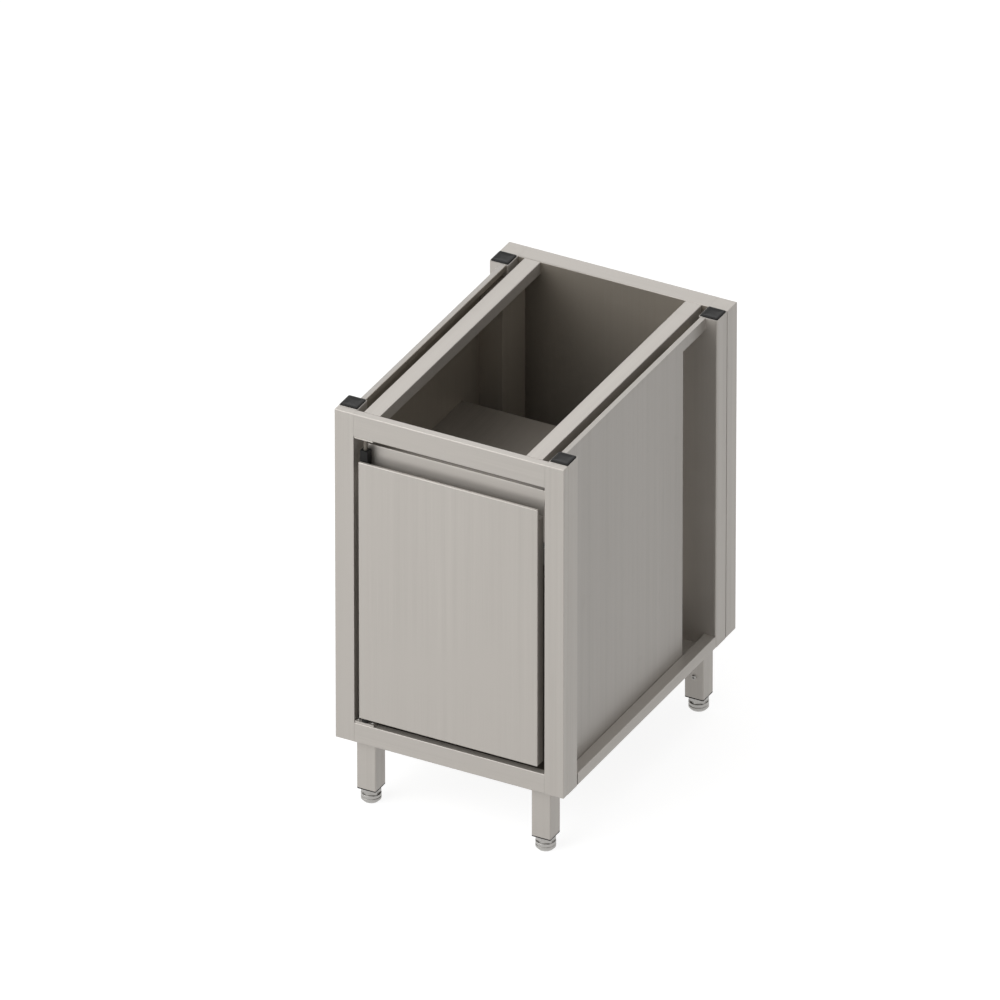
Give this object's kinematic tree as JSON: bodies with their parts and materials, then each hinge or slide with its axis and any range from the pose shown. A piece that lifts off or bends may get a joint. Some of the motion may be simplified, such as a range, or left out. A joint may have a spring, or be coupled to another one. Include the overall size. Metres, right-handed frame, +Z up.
{
  "type": "condiment station cabinet",
  "caption": "Open-topped stainless steel counter cabinet on levelling legs with rails for hanging condiment pans, a half-depth shelf, service channels and a hinged finger-pull door.",
  "frame": {"origin": "on the floor, under the middle of the cabinet's outer box", "axes": "+X to the right seen from the front, the door faces -Y, +Z up"},
  "size_m": [0.48, 0.7, 0.853],
  "materials": {
    "satin_steel": "fine brushed stainless steel",
    "inner_steel": "duller mill-finish stainless steel inside",
    "black_nylon": "matt black moulded nylon",
    "bright_steel": "turned stainless steel"
  },
  "bodies": {
    "cabinet": {"front_left_stile": "satin_steel", "front_right_stile": "satin_steel", "front_top_rail": "satin_steel", "front_bottom_rail": "satin_steel", "front_left_post": "satin_steel", "front_right_post": "satin_steel", "rear_left_post": "satin_steel", "rear_right_post": "satin_steel", "rear_left_upright": "satin_steel", "rear_right_upright": "satin_steel", "rear_top_rail": "satin_steel", "rear_bottom_rail": "satin_steel", "left_bottom_rail": "satin_steel", "right_bottom_rail": "satin_steel", "left_side_panel": "satin_steel", "right_side_panel": "satin_steel", "left_pan_rail": "satin_steel", "right_pan_rail": "satin_steel", "front_left_leg_plate": "satin_steel", "front_right_leg_plate": "satin_steel", "rear_left_leg_plate": "satin_steel", "rear_right_leg_plate": "satin_steel", "front_left_leg": "satin_steel", "front_right_leg": "satin_steel", "rear_left_leg": "satin_steel", "rear_right_leg": "satin_steel", "lower_hinge_plate": "satin_steel", "upper_hinge_plate": "satin_steel", "rear_panel": "inner_steel", "base_panel": "inner_steel", "inner_shelf": "inner_steel", "left_shelf_bracket": "inner_steel", "right_shelf_bracket": "inner_steel", "front_left_post_plug": "black_nylon", "front_right_post_plug": "black_nylon", "rear_left_post_plug": "black_nylon", "rear_right_post_plug": "black_nylon", "front_left_leg_insert": "black_nylon", "front_right_leg_insert": "black_nylon", "rear_left_leg_insert": "black_nylon", "rear_right_leg_insert": "black_nylon", "lower_hinge_spacer": "black_nylon", "magnet_catch": "black_nylon", "front_left_leg_screw": "bright_steel", "front_right_leg_screw": "bright_steel", "rear_left_leg_screw": "bright_steel", "rear_right_leg_screw": "bright_steel", "lower_hinge_pin": "bright_steel", "upper_hinge_pin": "bright_steel"},
    "door": {"door_front_skin": "satin_steel", "door_back_skin": "inner_steel", "door_pivot_block": "black_nylon", "door_lower_bush": "black_nylon", "door_strike_plate": "bright_steel"},
    "front_left_levelling_foot": {"front_left_foot": "bright_steel"},
    "front_right_levelling_foot": {"front_right_foot": "bright_steel"},
    "rear_left_levelling_foot": {"rear_left_foot": "bright_steel"},
    "rear_right_levelling_foot": {"rear_right_foot": "bright_steel"}
  },
  "joints": [
    {"name": "door_hinge", "type": "hinge", "parent": "cabinet", "child": "door", "pos_m": [-0.1795, -0.3355, 0.5], "axis": [0, 0, -1], "range_deg": [0, 110]},
    {"name": "front_left_foot_height", "type": "slide", "parent": "cabinet", "child": "front_left_levelling_foot", "axis": [0, 0, -1], "range_m": [0, 0.025]},
    {"name": "front_right_foot_height", "type": "slide", "parent": "cabinet", "child": "front_right_levelling_foot", "axis": [0, 0, -1], "range_m": [0, 0.025]},
    {"name": "rear_left_foot_height", "type": "slide", "parent": "cabinet", "child": "rear_left_levelling_foot", "axis": [0, 0, -1], "range_m": [0, 0.025]},
    {"name": "rear_right_foot_height", "type": "slide", "parent": "cabinet", "child": "rear_right_levelling_foot", "axis": [0, 0, -1], "range_m": [0, 0.025]}
  ]
}
